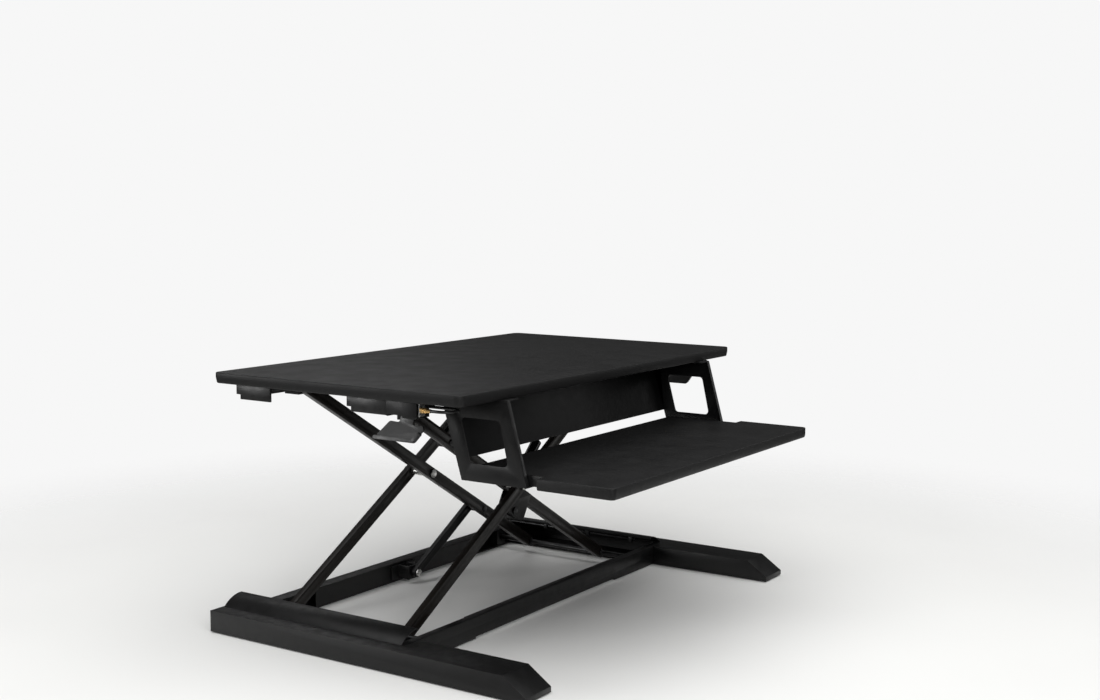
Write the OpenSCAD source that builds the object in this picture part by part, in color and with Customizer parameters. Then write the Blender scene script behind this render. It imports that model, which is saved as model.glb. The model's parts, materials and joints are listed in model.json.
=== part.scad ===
// Height-adjustable desk riser: a floor frame, two crossed pairs of arms held central by two
// short links, a gas spring, a desktop, and a keyboard tray hung below its front edge.
// +X is the user's right, +Y is away from the user, +Z is up, and z = 0 is the desk surface.

/* [Desktop] */
// Width of the desktop board
desktop_w = 900; // [880:1:904]
// Front edge of the desktop board
desktop_front_y = -161.5; // [-175:0.5:-155]
// Rear edge of the desktop board
desktop_rear_y = 357.5; // [345:0.5:370]
// Thickness of the desktop board
desktop_t = 18; // [15:0.5:22]
// Height of the underside of the desktop board
desktop_z = 432; // [432:0.5:434]

/* [Keyboard tray] */
// Half width of the tray in front of its brackets
tray_half_w = 355; // [350:1:370]
// Half width of the tray between its brackets
tray_neck_half_w = 332; // [325:1:333]
// Thickness of the tray board
tray_t = 18.5; // [15:0.5:22]
// Height of the underside of the tray board
tray_z = 300; // [298:0.5:304]
// Outer face of each tray bracket
bracket_x = 342; // [341:0.5:345]

/* [Floor frame] */
// Half of the width over the two floor rails
rail_out = 452; // [448:1:456]
// Inner side of each floor rail
rail_in = 383; // [380:1:386]
// Rear end of the floor rails, and half of the overall depth
half_depth = 371; // [365:1:380]
// Height of the top of the floor rails
rail_top = 38.5; // [38:0.5:40]
// Sheet thickness of rails and crossbars
sheet = 2; // [1.5:0.1:2]

/* [Lift] */
// Angle of the arms above the desk surface, as drawn
arm_angle = 30.5; // [30:0.5:31]
// Distance from the crossing bolt to the pivot at each end of an arm
arm_half = 392; // [388:1:394]
// Depth of an arm's tube
arm_h = 21; // [18:0.5:21]
// Thickness of an arm's tube
arm_t = 12; // [10:0.5:12]
// Height of the lower pivots
pivot_z = 21; // [20.5:0.5:21]

/* [Gas spring] */
// Diameter of the spring cylinder
spring_d = 20; // [16:1:20]
// Distance from the crossing bolt to the crank pin
crank_r = 60; // [56:1:62]
// Angle of the crank pin below the inner arm
crank_angle = 37; // [36:0.5:38]
// Distance from the crossing bolt to the spring cross rod
spring_rod_r = 232; // [228:1:234]

/* [Hidden] */
$fn = 64;

gap = 0.3;                    // space kept between pieces that pass each other
fit = 0.05;                   // extra radius of a bore that turns on its pin
arc_steps = 5;                // straight steps in a rounded corner of an outline
lift = 2 * arm_half * sin(arm_angle);
top_pivot_z = pivot_z + lift;
mid_z = pivot_z + lift / 2;
reach = arm_half * cos(arm_angle);

// front faces of the four arms, from front to rear
outer_front_y = 31;
inner_front_y = 67;
inner_rear_y = 240;
outer_rear_y = 288;

// floor frame
foot_h = 2;
nose_y = 281.5 - 2 * half_depth;
nose_front_y = -281.5;
nose_slope_y = -240;
nose_z = 10.8;
front_bar_y = [-29.5, -11.5];
rear_bar_y = [316, 342];
bar_end_x = 420;
hood_r = 53.4;
hood_t = 1.8;
hood_top = 56.5;
hood_y = [-24, 367.5];
hood_foot_x = 421;
strip_x = 372;
frame_bolt_x = 411;
frame_bolt_r = 3;
axle_r = 5;
pin_r = 4;

// corner radii of the boards, and depth and height of their lower chamfers
desktop_corner = 14;
desktop_chamfer = [2, 9.5];
tray_corner = 9;
tray_chamfer = [1.5, 5];
tray_rear_y = -92.5;

// links
link_y = 277;
upper_link_y = 84.5;
link_t = 9;
link_r = 9;
link_len = arm_half / 2;

// tracks below the desktop
track_t = 1.5;
track_z = 408;
track_half = 434;
front_track_y = [-10, 63];
rear_track_y = [237, 305];
slot_x = [308, 435];
shoe_len = 28;
cap_tab = 9;

// tray brackets: rear and front edges at the bottom and at the top
bracket_t = 2;
bracket_low = [-83, -208];
bracket_high = [-41.5, -170.5];
lip_w = 32;
window_r = 7;
window_low_z = 327;
window_high_z = 399;
window_low = [-100, -172.7];
window_high = [-80.4, -156.5];

// gas spring, as offsets from the crossing bolt
crank_dir = -(arm_angle + crank_angle);
crank_xz = [crank_r * cos(crank_dir), crank_r * sin(crank_dir)];
rod_xz = [spring_rod_r * cos(arm_angle), spring_rod_r * sin(arm_angle)];
spring_dx = rod_xz[0] - crank_xz[0];
spring_dz = rod_xz[1] - crank_xz[1];
spring_len = sqrt(spring_dx * spring_dx + spring_dz * spring_dz);
spring_dir = atan2(spring_dz, spring_dx);
spring_y = 94;
crank_plate_y = [65.5, 79];
crank_plate_t = 1.5;
eye_play = 4.2;

// levers
lever_pivot = [428, 418];
lever_lean = 14;
lever_t = 4;
lever_pin_r = 3;
mount_y = [-72, -12];

// release cable
cable_z = 420;
cable_y = -26;
cable_r = 2.5;
bend_r = 19;

// ---- helpers ----
// a cylinder along +Y from y0 to y1 at x, z
module ycyl(x, z, r, y0, y1) {
    translate([x, y0, z]) rotate([-90, 0, 0]) cylinder(r = r, h = y1 - y0);
}

// a cylinder along +X from x0 to x1 at y, z
module xcyl(y, z, r, x0, x1) {
    translate([x0, y, z]) rotate([0, 90, 0]) cylinder(r = r, h = x1 - x0);
}

// a box given by its corners
module block(a, b) {
    translate(a) cube(b - a);
}

// an outline in Y and Z, drawn out along +X from x0 to x1
module along_x(x0, x1) {
    translate([x0, 0, 0]) rotate([90, 0, 90]) linear_extrude(x1 - x0) children();
}

// a bar with round ends, from the origin to [len, 0], in the X-Z plane, thickness t along +Y
module stadium(len, r, t) {
    rotate([-90, 0, 0]) linear_extrude(t) {
        circle(r);
        translate([0, -r]) square([len, 2 * r]);
        translate([len, 0]) circle(r);
    }
}

// points of a slanted outline: rear and front edge at two heights, with one corner radius
function slant(low, high, z0, z1, r = 0) =
    [[low[0], z0, r], [low[1], z0, r], [high[1], z1, r], [high[0], z1, r]];

function xy(p) = [p[0], p[1]];
function unit(v) = v / norm(v);

// arc that rounds the corner p = [x, y, radius] between its neighbours a and b
function corner_arc(a, p, b) =
    let (u = unit(xy(a) - xy(p)), v = unit(xy(b) - xy(p)), half = acos(u * v) / 2,
         centre = xy(p) + unit(u + v) * p[2] / sin(half),
         from = xy(p) + u * p[2] / tan(half) - centre, to = xy(p) + v * p[2] / tan(half) - centre,
         start = atan2(from[1], from[0]),
         turn = atan2(from[0] * to[1] - from[1] * to[0], from * to))
    [for (i = [0 : arc_steps]) let (angle = start + turn * i / arc_steps)
        centre + p[2] * [cos(angle), sin(angle)]];

// outline through corners [x, y, radius]; a radius of 0 keeps a corner sharp
function rounded(corners) = let (n = len(corners))
    [for (i = [0 : n - 1]) each (corners[i][2] > 0
        ? corner_arc(corners[(i + n - 1) % n], corners[i], corners[(i + 1) % n])
        : [xy(corners[i])])];

// a bolt along +Y: round head in front at y0, shank to y1, and a nut behind y1
module bolt(x, z, r, y0, y1, head_r, nut_t, head_t = 3.5) {
    ycyl(x, z, head_r, y0 - head_t, y0);
    ycyl(x, z, r, y0 - 0.1, y1 + 0.1);
    translate([x, y1, z]) rotate([-90, 0, 0]) cylinder(r = head_r, h = nut_t, $fn = 6);
}

// ---- floor frame ----
module rail_outline(inset) {
    slope_in = inset * 0.45;
    polygon([
        [nose_front_y + inset, foot_h - 1], [nose_front_y + inset, nose_z - slope_in],
        [nose_slope_y + slope_in, rail_top - inset], [half_depth - inset, rail_top - inset],
        [half_depth - inset, foot_h - 1]]);
}

module rail() {
    strip_top = foot_h + sheet;
    difference() {
        along_x(-rail_out, -rail_in) rail_outline(0);
        along_x(-rail_out + sheet, -rail_in - sheet) rail_outline(sheet);
        translate([-rail_out - 1, nose_front_y - 1, -1]) cube([rail_out, 2 * half_depth, foot_h + 1]);
        // open inner side below the hood, for the ends of the arms
        block([-hood_foot_x, front_bar_y[0], foot_h - 1], [-rail_in + 1, rear_bar_y[1], rail_top + 1]);
    }
    // floor strip between the crossbars, and floor of the nose
    block([-rail_out + sheet, front_bar_y[1], foot_h], [-strip_x, rear_bar_y[0], strip_top]);
    block([-rail_out + sheet, nose_front_y + sheet, foot_h], [-rail_in - sheet, nose_slope_y, strip_top]);
    // cross walls that the crossbars are bolted to
    for (y = [front_bar_y[0] - sheet, rear_bar_y[1]]) difference() {
        block([-rail_out + sheet, y, foot_h + gap], [-rail_in - sheet, y + sheet, rail_top - sheet]);
        ycyl(-frame_bolt_x, pivot_z, frame_bolt_r, y - 1, y + sheet + 1);
    }
}

module left_rail() {
    color("#262626") rail();
}

module right_rail() {
    color("#262626") mirror([1, 0, 0]) rail();
}

// quarter-round cover over the ends of the arms
module hood() {
    centre_z = hood_top - hood_r;
    intersection() {
        difference() {
            ycyl(-rail_in, centre_z, hood_r, hood_y[0], hood_y[1]);
            ycyl(-rail_in, centre_z, hood_r - hood_t, hood_y[0] - 1, hood_y[1] - hood_t);
        }
        block([-rail_in - hood_r, hood_y[0] - 1, rail_top], [-rail_in, hood_y[1] + 1, hood_top]);
    }
    // turned-down inner hem
    block([-rail_in, hood_y[0], hood_top - 6], [-rail_in + hood_t, hood_y[1], hood_top]);
}

module left_hood() {
    color("#2b2b2b") hood();
}

module right_hood() {
    color("#2b2b2b") mirror([1, 0, 0]) hood();
}

// folded channel across the front, open towards the rear
module front_crossbar() {
    y0 = front_bar_y[0];
    y1 = front_bar_y[1];
    color("#262626") {
        difference() {
            block([-bar_end_x, y0, foot_h], [bar_end_x, y1, rail_top]);
            block([-bar_end_x - 1, y0 + sheet, foot_h + sheet], [bar_end_x + 1, y1 + 1, rail_top - sheet]);
            // raised lower edge between the two ends
            block([-230, y0 - 1, foot_h - 1], [230, y1 + 1, foot_h + 3]);
            // top fold is set back where the axles travel
            for (s = [-1, 1]) translate([s * 325 - 85, y1 - 2.5, foot_h + sheet]) cube([170, 5, rail_top]);
            for (s = [-1, 1]) ycyl(s * frame_bolt_x, pivot_z, frame_bolt_r, y0 - 1, y0 + sheet + 1);
        }
        // stiffening lip between the axles
        block([-206, y1 - sheet, 24], [206, y1, rail_top - 1]);
    }
}

// folded channel across the rear, open towards the front outside its middle wall
module rear_crossbar() {
    y0 = rear_bar_y[0];
    y1 = rear_bar_y[1];
    color("#262626") {
        difference() {
            block([-bar_end_x, y0, foot_h], [bar_end_x, y1, rail_top]);
            block([-bar_end_x - 1, y0 - 1, foot_h + sheet], [bar_end_x + 1, y1 - sheet, rail_top - sheet]);
            for (s = [-1, 1]) ycyl(s * frame_bolt_x, pivot_z, frame_bolt_r, y1 - sheet - 1, y1 + 1);
        }
        block([-247, y0, foot_h + 1], [247, y0 + sheet, rail_top - 1]);
    }
}

module hood_guide_rods() {
    color("#3a3a3a") for (s = [-1, 1]) ycyl(s * 387, 46, 3, 14, hood_y[1] - hood_t);
}

module guide_rod_clips() {
    color("#8c8c88") for (s = [-1, 1], y = [24, 128, 233, 338]) difference() {
        block([s * 387 - 5, y - 4, 41], [s * 387 + 5, y + 4, 50.2]);
        ycyl(s * 387, 46, 3, y - 5, y + 5);
    }
}

module rubber_feet() {
    color("#151515") for (s = [-1, 1], y = [-262, 0, 322]) translate([s * 418, y, 0]) cylinder(r = 12, h = foot_h);
}

// bolts that hold the crossbars to the cross walls of the rails
module frame_bolts() {
    y_front = front_bar_y[0] + sheet;
    y_rear = rear_bar_y[1] - sheet;
    color("#9a9a96") for (s = [-1, 1], b = [[y_front, y_front - 7, y_front], [y_rear, y_rear, y_rear + 7]]) {
        ycyl(s * frame_bolt_x, pivot_z, frame_bolt_r, b[1], b[2]);
        translate([s * frame_bolt_x, b[0] - (b[1] < b[0] ? 0 : 3), pivot_z])
            rotate([-90, 0, 0]) cylinder(r = 4.5, h = 3, $fn = 6);
    }
}

module base_link_bracket() {
    y_ear = link_y + link_t + 2;
    color("#262626") difference() {
        union() {
            block([-35, rear_bar_y[0] - 3, 7], [35, rear_bar_y[0], 34]);
            block([-14, y_ear, 8], [14, y_ear + 3, 34]);
            for (s = [-1, 1]) block([s * 13 - 1, y_ear + 1, 8], [s * 13 + 1, rear_bar_y[0] - 1, 34]);
        }
        ycyl(0, pivot_z, pin_r, y_ear - 1, y_ear + 4);
    }
}

module base_link_pin() {
    y_ear = link_y + link_t + 2;
    color("silver") {
        bolt(0, pivot_z, pin_r, link_y - gap, y_ear + 3, 7, 3.5);
    }
}

// ---- scissor arms ----
// tube with round ends about the crossing bolt, with sleeved bores at each listed distance
module arm(y0, lean, bores) {
    wall = 1.5;
    translate([0, y0, mid_z]) rotate([0, lean, 0]) difference() {
        union() {
            difference() {
                translate([-arm_half, 0, 0]) stadium(2 * arm_half, arm_h / 2, arm_t);
                translate([-arm_half - arm_h, wall, -arm_h / 2 + wall])
                    cube([2 * arm_half + 2 * arm_h, arm_t - 2 * wall, arm_h - 2 * wall]);
            }
            for (b = bores) ycyl(b[0], 0, b[1] + 2.5, 0.5, arm_t - 0.5);
        }
        for (b = bores) ycyl(b[0], 0, b[1], -1, arm_t + 1);
    }
}

module inner_arm_front() {
    color("#2c2a28") arm(inner_front_y, arm_angle, [
        [-arm_half, axle_r], [-link_len, pin_r], [0, axle_r], [arm_half, axle_r]]);
}

module inner_arm_rear() {
    color("#2c2a28") arm(inner_rear_y, arm_angle, [
        [-arm_half, axle_r], [0, axle_r], [link_len, pin_r], [arm_half, axle_r]]);
}

module outer_arm_front() {
    color("#2c2a28") arm(outer_front_y, -arm_angle, [
        [-arm_half, axle_r], [0, axle_r + fit], [spring_rod_r, pin_r], [arm_half, axle_r]]);
}

module outer_arm_rear() {
    color("#2c2a28") arm(outer_rear_y, -arm_angle, [
        [-arm_half, axle_r], [0, axle_r + fit], [spring_rod_r, pin_r], [arm_half, axle_r]]);
}

// axle with a round keeper just outside each of its two arms
module axle(x, z, y0, y1, keepers) {
    color("#8f8f8c") {
        ycyl(x, z, axle_r, y0, y1);
        for (k = keepers) ycyl(x, z, 8, k, k + 3);
    }
}

module inner_lower_axle() {
    axle(reach, pivot_z, -25.5, 337.5, [inner_front_y - 3, inner_rear_y - 3]);
}

module inner_upper_axle() {
    axle(-reach, top_pivot_z, -5, 284, [inner_front_y + arm_t]);
}

module outer_lower_axle() {
    axle(-reach, pivot_z, -25.5, 337.5, [outer_front_y - 3, outer_rear_y - 3]);
}

module outer_upper_axle() {
    axle(reach, top_pivot_z, -5, outer_rear_y + arm_t + 2, []);
}

module front_crossing_bolt() {
    color("silver") {
        bolt(0, mid_z, axle_r, outer_front_y - gap, inner_front_y + arm_t, 8, 4.5);
        ycyl(0, mid_z, 8, outer_front_y + arm_t + gap, inner_front_y);
    }
}

module rear_crossing_bolt() {
    color("silver") {
        bolt(0, mid_z, axle_r, inner_rear_y, outer_rear_y + arm_t + gap, 8, 4.5);
        ycyl(0, mid_z, 7, inner_rear_y + arm_t, outer_rear_y - gap);
    }
}

// low-headed bolt that joins a short link to an inner arm, with its spacer
module link_bolt(side, arm_y, y) {
    x = side * link_len * cos(arm_angle);
    z = mid_z - side * link_len * sin(arm_angle);
    color("#1c1c1c") {
        bolt(x, z, pin_r, arm_y, y + link_t + gap, 6.5, 1.4, 1.2);
        ycyl(x, z, 6.5, arm_y + arm_t, y - gap);
    }
}

module lower_link_bolt() {
    link_bolt(1, inner_rear_y, link_y);
}

module upper_link_bolt() {
    link_bolt(-1, inner_front_y, upper_link_y);
}

// ---- short links that keep the arms central ----
module link(y, z, lean) {
    translate([0, y, z]) rotate([0, lean, 0]) difference() {
        stadium(link_len, link_r, link_t);
        for (b = [0, link_len]) ycyl(b, 0, pin_r + fit, -1, link_t + 1);
    }
}

module lower_link() {
    color("#242424") link(link_y, pivot_z, -arm_angle);
}

module upper_link() {
    color("#242424") link(upper_link_y, top_pivot_z, 180 - arm_angle);
}

// ---- shoes that slide in the crossbars and in the tracks ----
module shoe(x, z, y0, y1, z0, z1) {
    difference() {
        block([x - shoe_len / 2, y0, z0], [x + shoe_len / 2, y1, z1]);
        ycyl(x, z, axle_r + fit, y0 - 1, y1 + 1);
    }
}

module lower_shoes(side) {
    z0 = foot_h + sheet + gap;
    z1 = rail_top - sheet - gap;
    color("#1b1b1b") {
        shoe(side * reach, pivot_z, front_bar_y[0] + sheet + gap, front_bar_y[1] - 3, z0, z1);
        shoe(side * reach, pivot_z, rear_bar_y[0] + 1, rear_bar_y[1] - sheet - gap, z0, z1);
    }
}

module upper_shoes(side) {
    z0 = track_z + 1;
    z1 = desktop_z - track_t - gap;
    color("#1b1b1b") {
        shoe(side * reach, top_pivot_z, front_track_y[0] + track_t + gap, 25, z0, z1);
        shoe(side * reach, top_pivot_z, inner_rear_y + arm_t + 2, outer_rear_y - 2, z0, z1);
    }
}

module inner_lower_shoes() {
    lower_shoes(1);
}

module inner_upper_shoes() {
    upper_shoes(-1);
}

module outer_lower_shoes() {
    lower_shoes(-1);
}

module outer_upper_shoes() {
    upper_shoes(1);
}

// ---- gas spring ----
// two plates on the front inner arm that carry the crank pin
module crank_plates() {
    px = crank_r * cos(crank_angle);
    pz = crank_r * sin(crank_angle);
    outline = [[12, -arm_h / 2, 1], [84, -arm_h / 2, 1], [84, pz + 10, 12], [12, pz + 10, 12]];
    color("#2a2724") for (y = crank_plate_y) translate([0, y, mid_z]) rotate([0, arm_angle, 0]) difference() {
        rotate([-90, 0, 0]) linear_extrude(crank_plate_t) polygon(rounded(outline));
        ycyl(px, -pz, pin_r, -1, crank_plate_t + 1);
    }
}

module crank_pin() {
    x = crank_xz[0];
    z = mid_z + crank_xz[1];
    color("#2a2a2a") {
        ycyl(x, z, 6.5, crank_plate_y[0] - 2.5, crank_plate_y[0]);
        ycyl(x, z, pin_r, crank_plate_y[0] - 1, spring_y + 9);
        ycyl(x, z, 6.5, crank_plate_y[0] + crank_plate_t, crank_plate_y[1]);
        ycyl(x, z, 6.5, crank_plate_y[1] + crank_plate_t, spring_y - 7 - gap);
        ycyl(x, z, 6.5, spring_y + 7 + gap, spring_y + 11);
    }
}

module spring_cross_rod() {
    x = rod_xz[0];
    z = mid_z + rod_xz[1];
    color("#8f8f8c") ycyl(x, z, pin_r, outer_front_y - 1, outer_rear_y + arm_t + 1);
}

// places the spring's own frame: +X along the spring, origin at the crank pin
module on_spring() {
    translate([crank_xz[0], spring_y, mid_z + crank_xz[1]]) rotate([0, -spring_dir, 0]) children();
}

module spring_cylinder() {
    r = spring_d / 2;
    color("#141414") on_spring() difference() {
        union() {
            ycyl(0, 0, 9, -7, 7);
            rotate([0, 90, 0]) translate([0, 0, 6]) cylinder(r = 6, h = 10);
            rotate([0, 90, 0]) translate([0, 0, 14]) cylinder(r = r, h = 146);
        }
        ycyl(0, 0, pin_r + fit, -8, 8);
        rotate([0, 90, 0]) translate([0, 0, 30]) cylinder(r = 6, h = 131);
    }
}

module spring_rod() {
    tail = 75;
    color("#c9c9c9") on_spring() difference() {
        union() {
            rotate([0, 90, 0]) translate([0, 0, spring_len - tail - 40]) cylinder(r = 4, h = tail + 30);
            rotate([0, 90, 0]) translate([0, 0, spring_len - tail - 40]) cylinder(r = 5.9, h = 8);
            ycyl(spring_len, 0, pin_r + eye_play + 2.4, -6, 6);
        }
        ycyl(spring_len, 0, pin_r + eye_play, -7, 7);
    }
}

// ---- desktop and tracks ----
// board with rounded corners and a chamfer [depth, height] round its lower edge
module board(x0, x1, y0, y1, z0, z1, r, chamfer) {
    hull() for (x = [x0 + r, x1 - r], y = [y0 + r, y1 - r]) {
        translate([x, y, z0 + chamfer[1]]) cylinder(r = r, h = z1 - z0 - chamfer[1], $fn = 32);
        translate([x, y, z0]) cylinder(r = r - chamfer[0], h = 1, $fn = 32);
    }
}

module desktop() {
    color("#242426") board(-desktop_w / 2, desktop_w / 2, desktop_front_y, desktop_rear_y,
        desktop_z, desktop_z + desktop_t, desktop_corner, desktop_chamfer);
}

// folded channel, open downwards, with a slot on one side for the axles
module track(y0, y1, slot_y) {
    difference() {
        block([-track_half, y0, track_z], [track_half, y1, desktop_z]);
        block([-track_half - 1, y0 + track_t, track_z - 1], [track_half + 1, y1 - track_t, desktop_z - track_t]);
        for (s = [-1, 1]) {
            x0 = s > 0 ? slot_x[0] : -slot_x[1];
            block([x0, slot_y - 3, track_z - 1], [x0 + slot_x[1] - slot_x[0], slot_y + 3, top_pivot_z + 6.5]);
        }
    }
}

module front_track() {
    color("#1e1e1e") track(front_track_y[0], front_track_y[1], front_track_y[1]);
}

module rear_track() {
    color("#1e1e1e") track(rear_track_y[0], rear_track_y[1], rear_track_y[0]);
}

module track_end_caps() {
    color("#1a1a1a") for (s = [-1, 1], t = [front_track_y, rear_track_y]) {
        x0 = s > 0 ? track_half : -track_half - 4;
        block([x0, t[0], track_z - 1], [x0 + 4, t[1], desktop_z - gap]);
        block([x0, t[1] - 1, track_z + 7], [x0 + 4, t[1] + cap_tab, desktop_z - gap]);
    }
}

module track_screws() {
    color("#9a9a96") for (s = [-1, 1], x = [60, 170, 280], y = [14, 270]) {
        translate([s * x, y, desktop_z - track_t - 2]) cylinder(r = 4, h = 2);
    }
}

module top_link_bracket() {
    y_ear = upper_link_y + link_t + 2;
    z1 = desktop_z;
    color("#262626") difference() {
        union() {
            block([-14, y_ear, top_pivot_z - 11], [14, y_ear + 3, z1]);
            block([-28, y_ear + 1, z1 - 2.5], [28, y_ear + 14, z1]);
        }
        ycyl(0, top_pivot_z, pin_r, y_ear - 1, y_ear + 4);
    }
}

module top_link_pin() {
    y_ear = upper_link_y + link_t + 2;
    color("silver") bolt(0, top_pivot_z, pin_r, upper_link_y - gap, y_ear + 3, 7, 3.5);
}

// ---- keyboard tray ----
module tray_bracket() {
    z0 = tray_z - bracket_t;
    x0 = -bracket_x;
    color("#232323") {
        difference() {
            along_x(x0, x0 + bracket_t) polygon(rounded(slant(bracket_low, bracket_high, z0, desktop_z)));
            along_x(x0 - 1, x0 + bracket_t + 1)
                polygon(rounded(slant(window_low, window_high, window_low_z, window_high_z, window_r)));
        }
        // folded lips along the front edge, under the tray and under the desktop
        along_x(x0 + 1, x0 + bracket_t + 6) polygon(rounded(slant(
            [bracket_low[1] + bracket_t, bracket_low[1]], [bracket_high[1] + bracket_t, bracket_high[1]],
            z0, desktop_z)));
        block([x0 + 1, bracket_low[1], z0], [x0 + lip_w, bracket_low[0], tray_z]);
        block([x0 + 1, bracket_high[1], desktop_z - bracket_t], [x0 + lip_w, bracket_high[0] - 24, desktop_z]);
    }
}

module left_tray_bracket() {
    tray_bracket();
}

module right_tray_bracket() {
    mirror([1, 0, 0]) tray_bracket();
}

// slanted sheet between the rear edges of the two brackets
module back_panel() {
    t = 1.5;
    low = bracket_low[0] + (bracket_high[0] - bracket_low[0]) * 0.235;
    z0 = tray_z + 29;
    z1 = desktop_z - 2;
    half = bracket_x - bracket_t;
    color("#202020") {
        along_x(-half, half) polygon([
            [low - t, z0], [low, z0], [bracket_high[0] - 0.5, z1 + 2], [bracket_high[0] - 22, z1 + 2],
            [bracket_high[0] - 22, z1 + 0.5], [bracket_high[0] - t - 0.5, z1 + 0.5]]);
    }
}

module keyboard_tray() {
    z1 = tray_z + tray_t;
    front = -half_depth;
    shoulder = bracket_low[1] - 26;
    color("#242426") {
        difference() {
            board(-tray_half_w, tray_half_w, front, tray_rear_y, tray_z, z1, tray_corner, tray_chamfer);
            for (s = [-1, 1]) translate([s * (tray_neck_half_w + 50) - 50, shoulder, tray_z - 1])
                cube([100, 200, tray_t + 2]);
        }
    }
}

module tray_screws() {
    color("#9a9a96") for (s = [-1, 1], y = [-105, -150, -195]) {
        translate([s * 321, y, tray_z - bracket_t - 1.6]) cylinder(r = 4, h = 1.6);
    }
}

module bracket_screws() {
    color("#9a9a96") for (s = [-1, 1], y = [-70, -110, -150]) {
        translate([s * 322, y, desktop_z - bracket_t - 1.6]) cylinder(r = 4, h = 1.6);
    }
}

// ---- release levers ----
module lever_mount() {
    x0 = -lever_pivot[0] - 13;
    x1 = x0 + 36;
    color("#39393b") difference() {
        union() {
            block([x0, mount_y[0], desktop_z - 2.5], [x1, mount_y[1], desktop_z]);
            for (y = [mount_y[0], mount_y[1] - 3]) block([x0, y, 407], [x0 + 31, y + 3, desktop_z - 2]);
            block([x0 + 29, mount_y[0], 407], [x0 + 31, mount_y[1], desktop_z - 2]);
            // outer plates beside the neck of the lever and over its hub
            block([x0 - 1, -43, 410], [x0 + 1, mount_y[1], desktop_z]);
            along_x(x0 - 1, x0 + 0.5) polygon(rounded([
                [mount_y[0], 406, 4], [-43, 406, 3], [-43, desktop_z, 0], [mount_y[0], desktop_z, 0]]));
            // stop behind the neck
            block([x0 + 20, -37, 399], [x0 + 22, -17, desktop_z - 1]);
        }
        ycyl(-lever_pivot[0], lever_pivot[1], lever_pin_r, mount_y[0] - 1, mount_y[1] + 1);
    }
}

module left_lever_mount() {
    lever_mount();
}

module right_lever_mount() {
    mirror([1, 0, 0]) lever_mount();
}

module lever_pin() {
    color("silver") ycyl(-lever_pivot[0], lever_pivot[1], lever_pin_r, mount_y[0], mount_y[1]);
}

module left_lever_pin() {
    lever_pin();
}

module right_lever_pin() {
    mirror([1, 0, 0]) lever_pin();
}

// paddle with a hub on the pin, a neck, and a curled lower lip; corners are [y, distance below the pin]
module lever() {
    outline = [[9, 47, 3], [-68, 47, 7], [-84, 28, 4], [-80, 23.5, 2], [-62, 23.5, 3], [-61, 2, 0],
        [-38, 2, 0], [-35, 21, 4], [-16, 20, 8], [-4, 33, 8]];
    lip = [[9.5, 45, 1.5], [-66, 45, 4], [-76, 33, 1], [-80, 36.5, 1], [-69, 51, 7], [9.5, 51, 1.5]];
    color("#2e2e30") difference() {
        translate([-lever_pivot[0], 0, lever_pivot[1]]) rotate([0, lever_lean, 0]) {
            ycyl(0, 0, 6, mount_y[0] + 3 + gap, mount_y[1] - 3 - gap);
            mirror([0, 0, 1]) along_x(-lever_t - 0.5, -0.5) polygon(rounded(outline));
            // thick lip along the lower edge and round the front corner
            mirror([0, 0, 1]) along_x(-lever_t - 5, -2) polygon(rounded(lip));
        }
        ycyl(-lever_pivot[0], lever_pivot[1], lever_pin_r + fit, mount_y[0] - 5, mount_y[1] + 5);
    }
}

module left_lever() {
    lever();
}

module right_lever() {
    mirror([1, 0, 0]) lever();
}

// plates that anchor the cable sheaths in front of the lever mounts
module cable_anchors() {
    y1 = mount_y[0];
    color("#9a9a96") for (s = [-1, 1]) difference() {
        union() {
            block([s * 434 - 7, y1 - 5, 410.5], [s * 434 + 7, y1 - 3.5, desktop_z]);
            block([s * 434 - 7, y1 - 5, desktop_z - 1.5], [s * 434 + 7, y1 - gap, desktop_z]);
        }
        ycyl(s * 434, cable_z, 3.2, y1 - 6, y1 - 2);
    }
}

module cable_adjusters() {
    y1 = mount_y[0] - 5;
    color("#b08a4a") for (s = [-1, 1]) difference() {
        union() {
            ycyl(s * 434, cable_z, 3.2, y1 - 16, y1 + 1.5);
            translate([s * 434, y1 - 4, cable_z]) rotate([-90, 0, 0]) cylinder(r = 4.6, h = 4, $fn = 6);
            translate([s * 434, y1 - 9, cable_z]) rotate([-90, 0, 0]) cylinder(r = 4.6, h = 3, $fn = 6);
        }
        ycyl(s * 434, cable_z, cable_r, y1 - 17, y1 - 12);
    }
}

// sheathed cable from lever to lever: forward out of the adjuster, round a half turn, back past the
// bracket, and across below the desktop
module release_cable() {
    y_out = mount_y[0] - 17;
    color("#161616") for (s = [0, 1]) mirror([s, 0, 0]) {
        ycyl(-434, cable_z, cable_r, y_out - 18, y_out);
        translate([-434 + bend_r, y_out - 18, cable_z]) rotate([0, 0, 180])
            rotate_extrude(angle = 180) translate([bend_r, 0]) circle(cable_r, $fn = 24);
        ycyl(-434 + 2 * bend_r, cable_z, cable_r, y_out - 18, cable_y - bend_r);
        translate([-434 + 3 * bend_r, cable_y - bend_r, cable_z]) rotate([0, 0, 90])
            rotate_extrude(angle = 90) translate([bend_r, 0]) circle(cable_r, $fn = 24);
        xcyl(cable_y, cable_z, cable_r, -434 + 3 * bend_r, 0.1);
    }
}

module cable_clips() {
    color("#202020") for (x = [-360, -200, 0, 200, 360]) difference() {
        block([x - 4, cable_y - 5, cable_z - 4], [x + 4, cable_y + 5, desktop_z]);
        xcyl(cable_y, cable_z, cable_r, x - 5, x + 5);
    }
}

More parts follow.
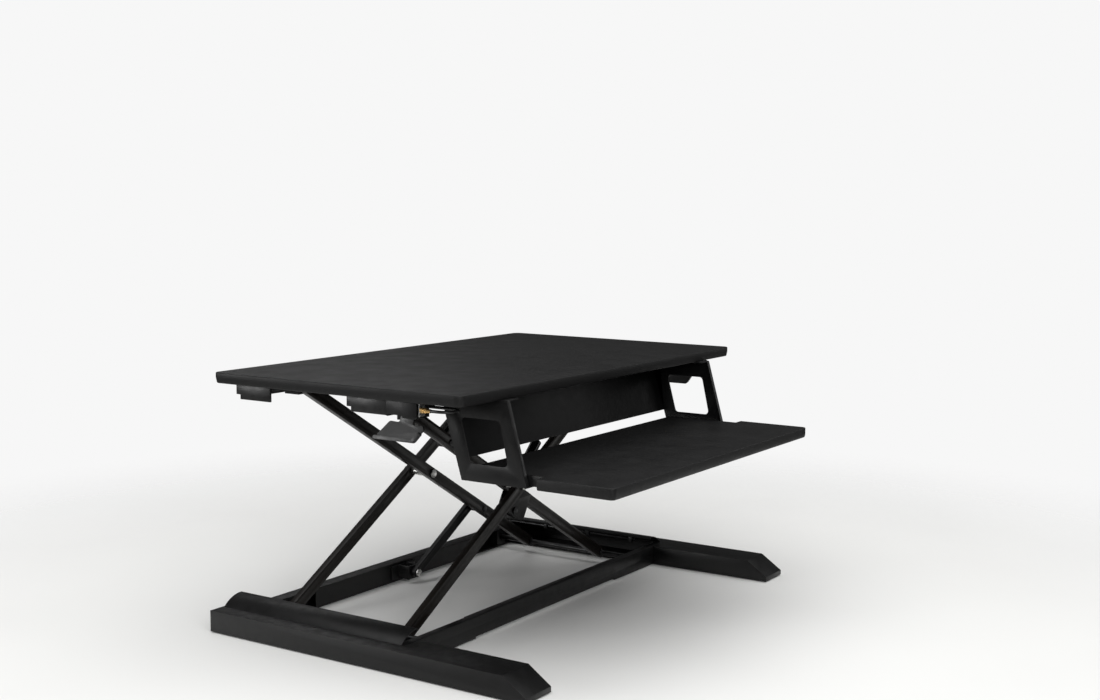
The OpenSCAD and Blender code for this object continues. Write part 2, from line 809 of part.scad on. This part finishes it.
left_rail();
right_rail();
left_hood();
right_hood();
front_crossbar();
rear_crossbar();
hood_guide_rods();
guide_rod_clips();
rubber_feet();
frame_bolts();
base_link_bracket();
base_link_pin();
lower_link();
inner_arm_front();
inner_arm_rear();
inner_lower_axle();
inner_upper_axle();
front_crossing_bolt();
rear_crossing_bolt();
crank_plates();
crank_pin();
lower_link_bolt();
upper_link_bolt();
outer_arm_front();
outer_arm_rear();
outer_lower_axle();
outer_upper_axle();
spring_cross_rod();
inner_lower_shoes();
inner_upper_shoes();
outer_lower_shoes();
outer_upper_shoes();
spring_cylinder();
spring_rod();
upper_link();
desktop();
front_track();
rear_track();
track_end_caps();
track_screws();
top_link_bracket();
top_link_pin();
left_tray_bracket();
right_tray_bracket();
back_panel();
keyboard_tray();
tray_screws();
bracket_screws();
left_lever_mount();
right_lever_mount();
left_lever();
right_lever();
left_lever_pin();
right_lever_pin();
cable_anchors();
cable_adjusters();
release_cable();
cable_clips();
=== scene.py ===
"""Dresses the desk riser: soft edges, finishes, bolts, levers, studio floor, lights and camera."""
import json
import math

import bmesh
import bpy
from mathutils import Matrix, Vector


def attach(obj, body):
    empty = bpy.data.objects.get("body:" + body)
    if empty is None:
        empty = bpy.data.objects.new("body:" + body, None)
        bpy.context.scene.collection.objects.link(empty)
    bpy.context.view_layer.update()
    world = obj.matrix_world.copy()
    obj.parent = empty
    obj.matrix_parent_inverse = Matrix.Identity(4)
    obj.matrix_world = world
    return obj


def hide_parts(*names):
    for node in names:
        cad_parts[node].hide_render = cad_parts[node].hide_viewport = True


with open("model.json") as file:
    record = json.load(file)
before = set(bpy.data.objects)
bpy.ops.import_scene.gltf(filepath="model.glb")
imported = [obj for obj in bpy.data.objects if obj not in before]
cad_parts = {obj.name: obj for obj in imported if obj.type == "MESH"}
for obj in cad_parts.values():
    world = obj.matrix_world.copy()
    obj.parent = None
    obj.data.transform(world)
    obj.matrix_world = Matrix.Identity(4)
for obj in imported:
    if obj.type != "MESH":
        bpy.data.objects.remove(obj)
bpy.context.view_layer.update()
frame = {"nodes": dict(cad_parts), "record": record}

bl_info = {
    "name": "Desk Riser Dressing",
    "version": (1, 0, 0),
    "blender": (4, 5, 0),
    "location": "3D View > Sidebar > Riser",
    "description": "Finishes the desk riser's pieces and sets its studio",
    "category": "Object",
}

MM = 0.001

# sheet-metal nodes that get a folded or cut edge radius, in millimetres
SHEET_METAL = {
    "left_rail": 1.6, "right_rail": 1.6, "front_crossbar": 0.9, "rear_crossbar": 0.9,
    "left_hood": 0.6, "right_hood": 0.6, "base_link_bracket": 0.8, "top_link_bracket": 0.5,
    "front_track": 0.5, "rear_track": 0.5, "left_tray_bracket": 0.7, "right_tray_bracket": 0.7,
    "back_panel": 0.5, "crank_plates": 0.5, "left_lever_mount": 0.6, "right_lever_mount": 0.6,
    "lower_link": 1.0, "upper_link": 1.0,
}
ARMS = ["inner_arm_front", "inner_arm_rear", "outer_arm_front", "outer_arm_rear"]
MOULDED = {
    "inner_lower_shoes": 0.8, "inner_upper_shoes": 0.8, "outer_lower_shoes": 0.8,
    "outer_upper_shoes": 0.8, "track_end_caps": 0.9, "cable_clips": 0.6,
}
RODS = ["inner_lower_axle", "inner_upper_axle", "outer_lower_axle", "outer_upper_axle",
        "hood_guide_rods", "spring_cross_rod"]
PLATED = ["front_crossing_bolt", "rear_crossing_bolt", "base_link_pin", "top_link_pin",
          "lower_link_bolt", "upper_link_bolt", "crank_pin", "left_lever_pin", "right_lever_pin",
          "frame_bolts", "track_screws", "tray_screws", "bracket_screws", "guide_rod_clips",
          "cable_anchors"]

# edge radii of the small pieces, in millimetres
FITTING_EDGE = 0.5
SPRING_EDGE = 1.0
SMALL_EDGE = 0.4
LEVER_EDGE = 1.5
SMOOTH_BELOW = 35.0  # degrees between faces that are shaded as one surface
MERGE_WITHIN = 2e-6  # metres between mesh points that are one point

# the studio: its floor, backdrop and area lights (name, place, aim, size, watts)
FLOOR_HALF = 14.0
TARGET = (0.0, 0.0, 0.1)
LIGHTS = (
    ("ceiling", (-0.4, -0.5, 3.0), (0.0, 0.0, 0.0), (5.5, 5.0), 165.0),
    ("key", (-2.3, -2.5, 1.6), TARGET, (2.2, 1.4), 46.0),
    ("right_fill", (2.7, -1.9, 1.1), TARGET, (1.6, 1.0), 8.0),
    ("left_fill", (-2.6, 2.4, 0.9), TARGET, (1.4, 0.8), 34.0),
    ("rear_strip", (1.7, 2.6, 1.9), TARGET, (1.6, 0.5), 4.0),
)

# the camera: its place, its yaw, pitch and roll in degrees, and its sensor in millimetres
CAMERA_PLACE = (-2.165, -1.441, 0.743)
CAMERA_TURN = (56.83, 5.96, 0.3)
SENSOR_WIDTH = 36.0


# ---- materials ----
class Surface:
    """A principled material with helpers for patterns on Object coordinates."""

    def __init__(self, name, color, roughness, metallic=0.0):
        self.material = bpy.data.materials.new(name)
        self.material.use_nodes = True
        self.nodes = self.material.node_tree.nodes
        self.links = self.material.node_tree.links
        self.shader = self.nodes["Principled BSDF"]
        self.shader.inputs["Base Color"].default_value = (*color, 1.0)
        self.shader.inputs["Roughness"].default_value = roughness
        self.shader.inputs["Metallic"].default_value = metallic
        self.place = self.nodes.new("ShaderNodeTexCoord")

    def noise(self, scale, detail=3.0, stretch=(1.0, 1.0, 1.0)):
        mapping = self.nodes.new("ShaderNodeMapping")
        mapping.inputs["Scale"].default_value = stretch
        self.links.new(self.place.outputs["Object"], mapping.inputs["Vector"])
        node = self.nodes.new("ShaderNodeTexNoise")
        node.inputs["Scale"].default_value = scale
        node.inputs["Detail"].default_value = detail
        self.links.new(mapping.outputs["Vector"], node.inputs["Vector"])
        return node.outputs["Fac"]

    def cells(self, scale):
        node = self.nodes.new("ShaderNodeTexVoronoi")
        node.feature = "SMOOTH_F1"
        node.inputs["Scale"].default_value = scale
        self.links.new(self.place.outputs["Object"], node.inputs["Vector"])
        return node.outputs["Distance"]

    def ramp(self, source, low, high, low_at=0.35, high_at=0.65):
        node = self.nodes.new("ShaderNodeValToRGB")
        node.color_ramp.elements[0].position = low_at
        node.color_ramp.elements[0].color = (*low, 1.0)
        node.color_ramp.elements[1].position = high_at
        node.color_ramp.elements[1].color = (*high, 1.0)
        self.links.new(source, node.inputs["Fac"])
        return node.outputs["Color"]

    def colors(self, source, low, high, **places):
        self.links.new(self.ramp(source, low, high, **places), self.shader.inputs["Base Color"])

    def roughness(self, source, low, high):
        node = self.nodes.new("ShaderNodeMapRange")
        node.inputs["From Min"].default_value = 0.3
        node.inputs["From Max"].default_value = 0.7
        node.inputs["To Min"].default_value = low
        node.inputs["To Max"].default_value = high
        self.links.new(source, node.inputs["Value"])
        self.links.new(node.outputs["Result"], self.shader.inputs["Roughness"])

    def bump(self, *layers):
        normal = None
        for source, strength, distance in layers:
            node = self.nodes.new("ShaderNodeBump")
            node.inputs["Strength"].default_value = strength
            node.inputs["Distance"].default_value = distance
            self.links.new(source, node.inputs["Height"])
            if normal:
                self.links.new(normal, node.inputs["Normal"])
            normal = node.outputs["Normal"]
        self.links.new(normal, self.shader.inputs["Normal"])


def shade(color, factor):
    return tuple(min(1.0, c * factor) for c in color)


def powder_coat(name, color, warm=0.0, rough=0.4):
    """Fine orange-peel coat, slightly uneven in gloss."""
    surface = Surface(name, color, rough)
    tint = (color[0] * (1 + warm), color[1], color[2] * (1 - warm * 0.6))
    surface.colors(surface.noise(9.0, 4.0), shade(tint, 0.8), shade(tint, 1.25))
    surface.roughness(surface.noise(60.0, 5.0), rough - 0.06, rough + 0.08)
    surface.bump((surface.noise(1400.0, 2.0), 0.2, 0.0003),
                 (surface.noise(260.0, 2.0), 0.08, 0.0006))
    surface.shader.inputs["Specular IOR Level"].default_value = 0.3
    return surface.material


def laminate(name, color):
    """Board covered in a pebbled black foil."""
    surface = Surface(name, color, 0.5)
    surface.colors(surface.noise(700.0, 2.0), shade(color, 0.6), shade(color, 1.6),
                   low_at=0.4, high_at=0.62)
    surface.roughness(surface.noise(24.0, 5.0), 0.44, 0.56)
    surface.bump((surface.cells(520.0), 0.3, 0.0005), (surface.noise(1100.0, 3.0), 0.2, 0.0003))
    surface.shader.inputs["Specular IOR Level"].default_value = 0.3
    return surface.material


def moulded(name, color, rough=0.4):
    """Fine-grained moulded plastic or smooth paint."""
    surface = Surface(name, color, rough)
    surface.colors(surface.noise(30.0, 4.0), shade(color, 0.85), shade(color, 1.2))
    surface.roughness(surface.noise(90.0, 4.0), max(0.05, rough - 0.06), rough + 0.08)
    surface.bump((surface.noise(1700.0, 2.0), 0.12, 0.0002))
    return surface.material


def plated(name, color, rough, stretch):
    """Plated or blackened steel with a faint turned grain."""
    surface = Surface(name, color, rough, metallic=1.0)
    surface.colors(surface.noise(55.0, 5.0), shade(color, 0.8), shade(color, 1.1))
    surface.roughness(surface.noise(140.0, 4.0), max(0.05, rough - 0.08), rough + 0.1)
    surface.bump((surface.noise(700.0, 2.0, stretch), 0.1, 0.0002))
    return surface.material


def rubber(name, color):
    """Matt black rubber."""
    surface = Surface(name, color, 0.8)
    surface.roughness(surface.noise(120.0, 5.0), 0.7, 0.9)
    surface.bump((surface.noise(900.0, 3.0), 0.3, 0.0004))
    return surface.material


def pale_floor(name, color, near=0.7, far=1.9):
    """Pale table surface that fades into the white backdrop between two distances."""
    surface = Surface(name, color, 0.6)
    surface.shader.inputs["Specular IOR Level"].default_value = 0.2
    surface.roughness(surface.noise(3.0, 3.0), 0.55, 0.68)
    distance = surface.nodes.new("ShaderNodeVectorMath")
    distance.operation = "LENGTH"
    surface.links.new(surface.place.outputs["Object"], distance.inputs[0])
    fade = surface.nodes.new("ShaderNodeMapRange")
    fade.interpolation_type = "SMOOTHSTEP"
    fade.inputs["From Min"].default_value = near
    fade.inputs["From Max"].default_value = far
    surface.links.new(distance.outputs["Value"], fade.inputs["Value"])
    clear = surface.nodes.new("ShaderNodeBsdfTransparent")
    mix = surface.nodes.new("ShaderNodeMixShader")
    surface.links.new(fade.outputs["Result"], mix.inputs["Fac"])
    surface.links.new(surface.shader.outputs["BSDF"], mix.inputs[1])
    surface.links.new(clear.outputs["BSDF"], mix.inputs[2])
    surface.links.new(mix.outputs["Shader"], surface.nodes["Material Output"].inputs["Surface"])
    return surface.material


FINISHES = {}


def finish(name):
    """The finish of a material slot, made once from the sidebar's colours."""
    if name not in FINISHES:
        look = bpy.context.scene.riser_look
        makers = {
            "black_powder_coat": lambda n: powder_coat(n, look.steel_color),
            "arm_powder_coat": lambda n: powder_coat(n, look.arm_color, 0.15, 0.34),
            "black_board": lambda n: laminate(n, look.board_color),
            "black_nylon": lambda n: moulded(n, look.plastic_color),
            "rubber": lambda n: rubber(n, (0.012, 0.012, 0.012)),
            "zinc": lambda n: plated(n, (0.62, 0.62, 0.6), 0.28, (1.0, 1.0, 1.0)),
            "axle_steel": lambda n: plated(n, (0.045, 0.045, 0.046), 0.36, (1.0, 0.08, 1.0)),
            "chrome": lambda n: plated(n, (0.8, 0.8, 0.81), 0.14, (1.0, 1.0, 1.0)),
            "brass": lambda n: plated(n, (0.72, 0.46, 0.18), 0.3, (1.0, 0.1, 1.0)),
            "spring_paint": lambda n: moulded(n, (0.004, 0.004, 0.004), 0.14),
            "cable_sheath": lambda n: moulded(n, (0.005, 0.005, 0.005), 0.35),
            "floor": lambda n: pale_floor(n, look.floor_color),
        }
        FINISHES[name] = makers[name](name)
    return FINISHES[name]


SLOT_OF = {part["node"]: part["material_slot"] for part in frame["record"]["subparts"]}
BODY_OF = {node: body for body, nodes in frame["record"]["behaviour"]["bodies"].items()
           for node in nodes}


# ---- meshes ----
def add_piece(name, bm, slot, body, replaced):
    """Makes an object of a bmesh, gives it its finish and lets it ride on its body for CAD nodes."""
    mesh = bpy.data.meshes.new(name)
    bm.to_mesh(mesh)
    bm.free()
    for face in mesh.polygons:
        face.use_smooth = True
    mesh.set_sharp_from_angle(angle=math.radians(SMOOTH_BELOW))
    piece = bpy.data.objects.new(name, mesh)
    bpy.context.scene.collection.objects.link(piece)
    mesh.materials.append(finish(slot))
    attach(piece, body)
    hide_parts(*replaced)


def soften(node, radius, segments=2, turn_deg=28.0):
    """A copy of a CAD node with its sharp edges rounded; it stands for that node."""
    bm = bmesh.new()
    bm.from_mesh(frame["nodes"][node].data)
    bmesh.ops.remove_doubles(bm, verts=bm.verts, dist=MERGE_WITHIN)
    bmesh.ops.dissolve_limit(bm, angle_limit=math.radians(1.0), verts=bm.verts, edges=bm.edges)
    turn = math.radians(turn_deg)
    sharp = [e for e in bm.edges if e.is_manifold and e.calc_face_angle(0.0) > turn]
    bmesh.ops.bevel(bm, geom=sharp, offset=radius * MM, segments=segments, profile=0.5,
                    affect="EDGES", clamp_overlap=True, material=-1)
    add_piece("soft_" + node, bm, SLOT_OF[node], BODY_OF[node], [node])


# ---- the sidebar's values ----
class RiserLook(bpy.types.PropertyGroup):
    """Colours of the riser and its studio"""
    steel_color: bpy.props.FloatVectorProperty(
        name="Steel", description="Powder coat of the frame", subtype="COLOR", size=3,
        default=(0.0040, 0.0040, 0.0041), min=0.0, max=1.0)
    arm_color: bpy.props.FloatVectorProperty(
        name="Arms", description="Powder coat of the lifting arms", subtype="COLOR", size=3,
        default=(0.0062, 0.0056, 0.0050), min=0.0, max=1.0)
    board_color: bpy.props.FloatVectorProperty(
        name="Boards", description="Laminate of the desktop and the tray", subtype="COLOR", size=3,
        default=(0.0045, 0.0045, 0.0046), min=0.0, max=1.0)
    plastic_color: bpy.props.FloatVectorProperty(
        name="Plastic", description="Levers, caps and shoes", subtype="COLOR", size=3,
        default=(0.0032, 0.0032, 0.0033), min=0.0, max=1.0)
    floor_color: bpy.props.FloatVectorProperty(
        name="Floor", description="Studio floor", subtype="COLOR", size=3,
        default=(0.84, 0.84, 0.825), min=0.0, max=1.0)


class RiserSizes(bpy.types.PropertyGroup):
    """Sizes that the dressing adds"""
    board_edge: bpy.props.FloatProperty(
        name="Board Edge", description="Radius of the boards' edges", default=1.4 * MM,
        min=0.2 * MM, max=3.0 * MM, subtype="DISTANCE", unit="LENGTH")
    arm_edge: bpy.props.FloatProperty(
        name="Arm Edge", description="Radius of the arm tubes' corners", default=1.6 * MM,
        min=0.2 * MM, max=3.0 * MM, subtype="DISTANCE", unit="LENGTH")
    lens: bpy.props.FloatProperty(
        name="Lens", description="Focal length of the camera", default=47.5, min=20.0, max=120.0,
        unit="CAMERA")


# ---- operators ----
class RISER_OT_boards(bpy.types.Operator):
    """Rounds the edges of the desktop and the keyboard tray"""
    bl_idname = "riser.boards"
    bl_label = "Boards"

    def execute(self, context):
        edge = context.scene.riser_sizes.board_edge / MM
        for node in ("desktop", "keyboard_tray"):
            soften(node, edge, segments=3, turn_deg=20.0)
        return {"FINISHED"}


class RISER_OT_sheet_metal(bpy.types.Operator):
    """Rounds the folds and cut edges of the sheet-metal pieces"""
    bl_idname = "riser.sheet_metal"
    bl_label = "Sheet Metal"

    def execute(self, context):
        for node, radius in SHEET_METAL.items():
            soften(node, radius)
        return {"FINISHED"}


class RISER_OT_arms(bpy.types.Operator):
    """Rounds the corners of the arm tubes"""
    bl_idname = "riser.arms"
    bl_label = "Arms"

    def execute(self, context):
        edge = context.scene.riser_sizes.arm_edge / MM
        for node in ARMS:
            soften(node, edge, segments=3, turn_deg=40.0)
        return {"FINISHED"}


class RISER_OT_mouldings(bpy.types.Operator):
    """Softens the shoes, end caps and cable clips"""
    bl_idname = "riser.mouldings"
    bl_label = "Mouldings"

    def execute(self, context):
        for node, radius in MOULDED.items():
            soften(node, radius)
        return {"FINISHED"}


class RISER_OT_fittings(bpy.types.Operator):
    """Softens the bolts, pins, axles, spring, feet and cable"""
    bl_idname = "riser.fittings"
    bl_label = "Fittings"

    def execute(self, context):
        for node in PLATED + RODS:
            soften(node, FITTING_EDGE, turn_deg=40.0)
        for node in ("spring_cylinder", "spring_rod"):
            soften(node, SPRING_EDGE, turn_deg=50.0)
        for node in ("rubber_feet", "cable_adjusters", "release_cable"):
            soften(node, SMALL_EDGE, turn_deg=50.0)
        return {"FINISHED"}


class RISER_OT_levers(bpy.types.Operator):
    """Rounds the squeeze levers"""
    bl_idname = "riser.levers"
    bl_label = "Levers"

    def execute(self, context):
        for node in ("left_lever", "right_lever"):
            soften(node, LEVER_EDGE, segments=3, turn_deg=30.0)
        return {"FINISHED"}


def soft_light(name, place, aim, size, power):
    data = bpy.data.lights.new(name, "AREA")
    data.shape = "RECTANGLE"
    data.size = size[0]
    data.size_y = size[1]
    data.energy = power
    lamp = bpy.data.objects.new(name, data)
    lamp.location = place
    lamp.rotation_euler = (Vector(aim) - Vector(place)).to_track_quat("-Z", "Y").to_euler()
    bpy.context.scene.collection.objects.link(lamp)


def backdrop(white, surroundings):
    """A white backdrop for the camera, with dim surroundings for the light on the riser."""
    world = bpy.data.worlds.new("studio")
    world.use_nodes = True
    nodes, links = world.node_tree.nodes, world.node_tree.links
    dim = nodes["Background"]
    dim.inputs["Color"].default_value = (1.0, 1.0, 1.0, 1.0)
    dim.inputs["Strength"].default_value = surroundings
    bright = nodes.new("ShaderNodeBackground")
    bright.inputs["Color"].default_value = (1.0, 1.0, 1.0, 1.0)
    bright.inputs["Strength"].default_value = white
    rays = nodes.new("ShaderNodeLightPath")
    mix = nodes.new("ShaderNodeMixShader")
    links.new(rays.outputs["Is Camera Ray"], mix.inputs["Fac"])
    links.new(dim.outputs["Background"], mix.inputs[1])
    links.new(bright.outputs["Background"], mix.inputs[2])
    links.new(mix.outputs["Shader"], nodes["World Output"].inputs["Surface"])
    bpy.context.scene.world = world


class RISER_OT_stage(bpy.types.Operator):
    """Lays the pale floor and sets the soft studio lights"""
    bl_idname = "riser.stage"
    bl_label = "Studio"

    def execute(self, context):
        bm = bmesh.new()
        bmesh.ops.create_grid(bm, x_segments=1, y_segments=1, size=FLOOR_HALF)
        mesh = bpy.data.meshes.new("studio_floor")
        bm.to_mesh(mesh)
        bm.free()
        mesh.materials.append(finish("floor"))
        floor = bpy.data.objects.new("studio_floor", mesh)
        context.scene.collection.objects.link(floor)
        backdrop(white=0.93, surroundings=0.05)
        for light in LIGHTS:
            soft_light(*light)
        context.scene.view_settings.view_transform = "Standard"
        return {"FINISHED"}


class RISER_OT_camera(bpy.types.Operator):
    """Sets the camera in front of the riser's left corner"""
    bl_idname = "riser.camera"
    bl_label = "Camera"

    def execute(self, context):
        yaw, pitch, roll = (math.radians(a) for a in CAMERA_TURN)
        data = bpy.data.cameras.new("view")
        data.lens = context.scene.riser_sizes.lens
        data.sensor_width = SENSOR_WIDTH
        camera = bpy.data.objects.new("view", data)
        turn = (Matrix.Rotation(-yaw, 4, "Z") @ Matrix.Rotation(math.pi / 2 - pitch, 4, "X")
                @ Matrix.Rotation(roll, 4, "Z"))
        camera.rotation_euler = turn.to_euler()
        camera.location = CAMERA_PLACE
        context.scene.collection.objects.link(camera)
        context.scene.camera = camera
        return {"FINISHED"}


class RISER_PT_panel(bpy.types.Panel):
    """Lists the riser's dressing steps and values"""
    bl_idname = "RISER_PT_panel"
    bl_label = "Desk Riser"
    bl_space_type = "VIEW_3D"
    bl_region_type = "UI"
    bl_category = "Riser"

    def draw(self, context):
        for group in (context.scene.riser_look, context.scene.riser_sizes):
            for name in group.bl_rna.properties.keys():
                if name not in ("rna_type", "name"):
                    self.layout.prop(group, name)
        for operator in OPERATORS:
            self.layout.operator(operator.bl_idname)


OPERATORS = (
    RISER_OT_camera, RISER_OT_boards, RISER_OT_sheet_metal, RISER_OT_arms, RISER_OT_mouldings,
    RISER_OT_fittings, RISER_OT_levers, RISER_OT_stage,
)
CLASSES = (RiserLook, RiserSizes, *OPERATORS, RISER_PT_panel)


def register():
    for cls in CLASSES:
        bpy.utils.register_class(cls)
    bpy.types.Scene.riser_look = bpy.props.PointerProperty(type=RiserLook)
    bpy.types.Scene.riser_sizes = bpy.props.PointerProperty(type=RiserSizes)


def unregister():
    del bpy.types.Scene.riser_sizes
    del bpy.types.Scene.riser_look
    for cls in reversed(CLASSES):
        bpy.utils.unregister_class(cls)


def main():
    register()
    for operator in OPERATORS:
        group, action = operator.bl_idname.split(".")
        getattr(getattr(bpy.ops, group), action)()


if __name__ == "__main__":
    main()
